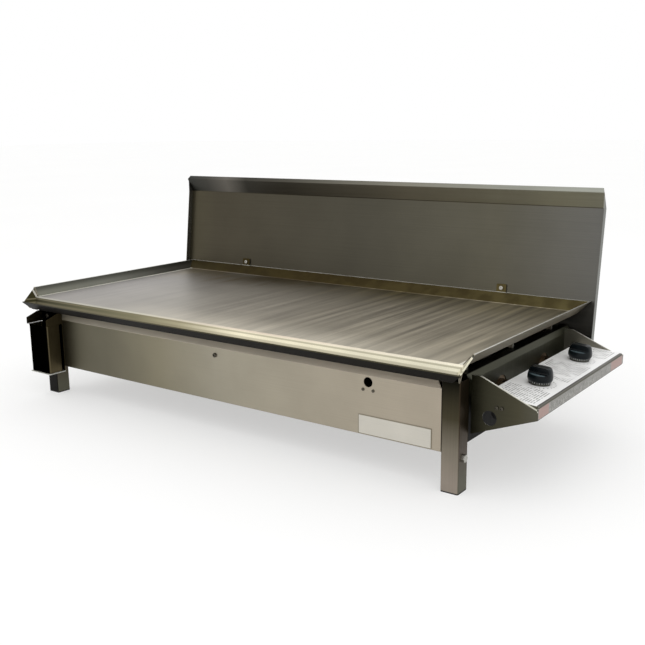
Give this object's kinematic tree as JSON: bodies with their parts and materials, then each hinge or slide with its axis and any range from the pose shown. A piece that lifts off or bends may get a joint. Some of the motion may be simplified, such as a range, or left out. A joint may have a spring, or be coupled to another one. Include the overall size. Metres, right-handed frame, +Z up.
{
  "type": "built-in flat plate barbecue",
  "caption": "Built-in flat plate gas barbecue with a front fat gutter, a leaning splashback, a side control box with push-and-turn knobs, and a fat tin that pulls out.",
  "frame": {"origin": "on the floor under the middle of the whole outline", "axes": "+X to the control box end, +Y from the front gutter to the splashback, +Z up"},
  "size_m": [1.2974, 0.6197, 0.5],
  "materials": {
    "plate_steel": "satin sheet with long brush lines and light heat tint",
    "splash_steel": "satin sheet",
    "fascia_steel": "satin sheet",
    "body_steel": "satin sheet and tube",
    "box_steel": "satin sheet",
    "tin_steel": "dull sheet",
    "burner_steel": "dull tube",
    "fastener_steel": "bright turned steel",
    "valve_brass": "machined",
    "pipe_steel": "dull grey coating",
    "bezel_metal": "satin",
    "knob_plastic": "fine satin moulding",
    "cap_rubber": "matt",
    "label_white": "printed sheet, semi-gloss",
    "badge_metal": "satin"
  },
  "bodies": {
    "frame": {"front_fascia": "fascia_steel", "leg_front_left": "body_steel", "leg_front_right": "body_steel", "leg_rear_left": "body_steel", "leg_rear_right": "body_steel", "end_panel_left": "body_steel", "end_panel_right": "body_steel", "rear_panel": "body_steel", "heat_shield": "body_steel", "fascia_stay": "body_steel", "lighting_plate": "body_steel", "gusset_front": "box_steel", "gusset_rear": "box_steel", "control_panel": "box_steel", "tin_holder": "tin_steel", "burner_front": "burner_steel", "burner_rear": "burner_steel", "burner_rest": "burner_steel", "burner_collars": "burner_steel", "fascia_screw": "fastener_steel", "fascia_nut": "fastener_steel", "lighting_rivets": "fastener_steel", "leg_bolts": "fastener_steel", "leg_nuts": "fastener_steel", "burner_screws": "fastener_steel", "control_box_screws": "fastener_steel", "tin_holder_screws": "fastener_steel", "gas_valve_front": "valve_brass", "gas_valve_rear": "valve_brass", "injector_front": "valve_brass", "injector_rear": "valve_brass", "gas_inlet": "valve_brass", "pipe_plug": "valve_brass", "gas_pipe": "pipe_steel", "bezel_front": "bezel_metal", "bezel_rear": "bezel_metal", "leg_end_caps": "cap_rubber", "control_label": "label_white", "lip_label": "label_white", "badge_plate": "badge_metal"},
    "plate": {"hotplate": "plate_steel", "plate_stiffeners": "plate_steel", "splashback": "splash_steel", "splashback_screws": "fastener_steel", "splashback_nuts": "fastener_steel"},
    "tin": {"fat_tin": "tin_steel"},
    "shutter_front": {"air_shutter_front": "burner_steel"},
    "shutter_rear": {"air_shutter_rear": "burner_steel"},
    "plug_front": {"valve_plug_front": "valve_brass"},
    "plug_rear": {"valve_plug_rear": "valve_brass"},
    "knob_front": {"knob_front": "knob_plastic", "spindle_front": "valve_brass", "return_spring_front": "fastener_steel"},
    "knob_rear": {"knob_rear": "knob_plastic", "spindle_rear": "valve_brass", "return_spring_rear": "fastener_steel"}
  },
  "joints": [
    {"name": "plate_lift", "type": "slide", "parent": "frame", "child": "plate", "axis": [0, 0, 1], "range_m": [0, 0.12]},
    {"name": "tin_pull", "type": "slide", "parent": "frame", "child": "tin", "axis": [0, -1, 0], "range_m": [0, 0.06]},
    {"name": "shutter_turn_front", "type": "hinge", "parent": "frame", "child": "shutter_front", "pos_m": [0.5348, -0.09887, 0.155], "axis": [1, 0, 0], "range_deg": [0, 80]},
    {"name": "knob_turn_front", "type": "hinge", "parent": "frame", "child": "plug_front", "pos_m": [0.5983, -0.09887, 0.17586], "axis": [0.077, 0, 0.997], "range_deg": [0, 180]},
    {"name": "knob_press_front", "type": "slide", "parent": "plug_front", "child": "knob_front", "axis": [-0.077, 0, -0.997], "range_m": [0, 0.0025], "stiffness_N_per_m": 600, "springref_m": -0.002},
    {"name": "shutter_turn_rear", "type": "hinge", "parent": "frame", "child": "shutter_rear", "pos_m": [0.5348, 0.10013, 0.155], "axis": [1, 0, 0], "range_deg": [0, 80]},
    {"name": "knob_turn_rear", "type": "hinge", "parent": "frame", "child": "plug_rear", "pos_m": [0.5983, 0.10013, 0.17586], "axis": [0.077, 0, 0.997], "range_deg": [0, 180]},
    {"name": "knob_press_rear", "type": "slide", "parent": "plug_rear", "child": "knob_rear", "axis": [-0.077, 0, -0.997], "range_m": [0, 0.0025], "stiffness_N_per_m": 600, "springref_m": -0.002}
  ]
}
